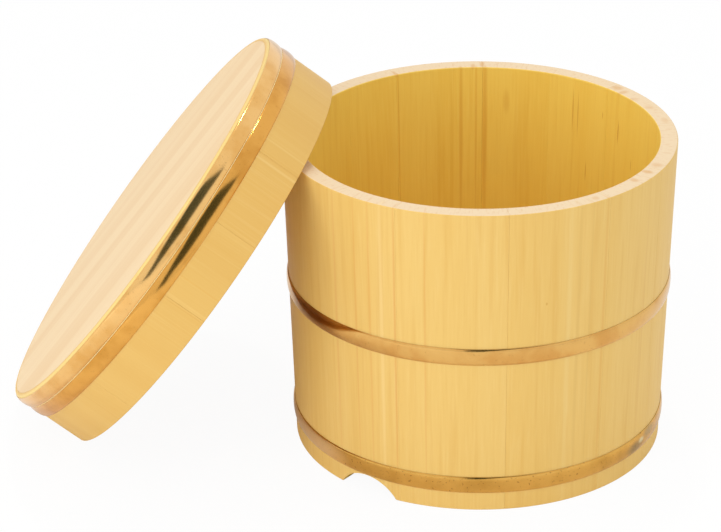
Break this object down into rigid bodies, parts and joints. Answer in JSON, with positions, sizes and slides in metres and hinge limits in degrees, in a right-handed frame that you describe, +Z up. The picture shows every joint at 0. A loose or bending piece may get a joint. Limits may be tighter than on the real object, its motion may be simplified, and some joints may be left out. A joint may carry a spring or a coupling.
{
  "type": "wooden rice container",
  "caption": "Round coopered wooden tub with copper hoops, arched foot notches and a flush capped lid that leans against its rim.",
  "frame": {"origin": "on the tub's axis at the level of its foot, on the surface it stands on", "axes": "+X from the leaning lid through the tub's axis, along the set's longest extent; +Y square to that, away from the side the set is seen from; +Z up"},
  "size_m": [0.3652, 0.242, 0.2174],
  "materials": {
    "tub_wood": "satin",
    "lid_wood": "satin",
    "tub_board_wood": "satin",
    "lid_board_wood": "satin",
    "copper": "satin",
    "bamboo": "satin"
  },
  "bodies": {
    "root": {"tub_stave_01": "tub_wood", "tub_stave_02": "tub_wood", "tub_stave_03": "tub_wood", "tub_stave_04": "tub_wood", "tub_stave_05": "tub_wood", "tub_stave_06": "tub_wood", "tub_stave_07": "tub_wood", "tub_stave_08": "tub_wood", "tub_stave_09": "tub_wood", "tub_stave_10": "tub_wood", "tub_stave_11": "tub_wood", "tub_stave_12": "tub_wood", "tub_stave_13": "tub_wood", "tub_stave_14": "tub_wood", "lid_stave_01": "lid_wood", "lid_stave_02": "lid_wood", "lid_stave_03": "lid_wood", "lid_stave_04": "lid_wood", "lid_stave_05": "lid_wood", "lid_stave_06": "lid_wood", "lid_stave_07": "lid_wood", "lid_stave_08": "lid_wood", "lid_stave_09": "lid_wood", "lid_stave_10": "lid_wood", "lid_stave_11": "lid_wood", "lid_stave_12": "lid_wood", "tub_board_plank_1": "tub_board_wood", "tub_board_plank_2": "tub_board_wood", "tub_board_plank_3": "tub_board_wood", "lid_board_plank_1": "lid_board_wood", "lid_board_plank_2": "lid_board_wood", "lid_board_plank_3": "lid_board_wood", "tub_hoop_low": "copper", "tub_hoop_middle": "copper", "lid_hoop_lower": "copper", "lid_hoop_upper": "copper", "tub_stave_pegs": "bamboo", "lid_stave_pegs": "bamboo", "tub_board_pegs": "bamboo", "lid_board_pegs": "bamboo"}
  },
  "joints": []
}
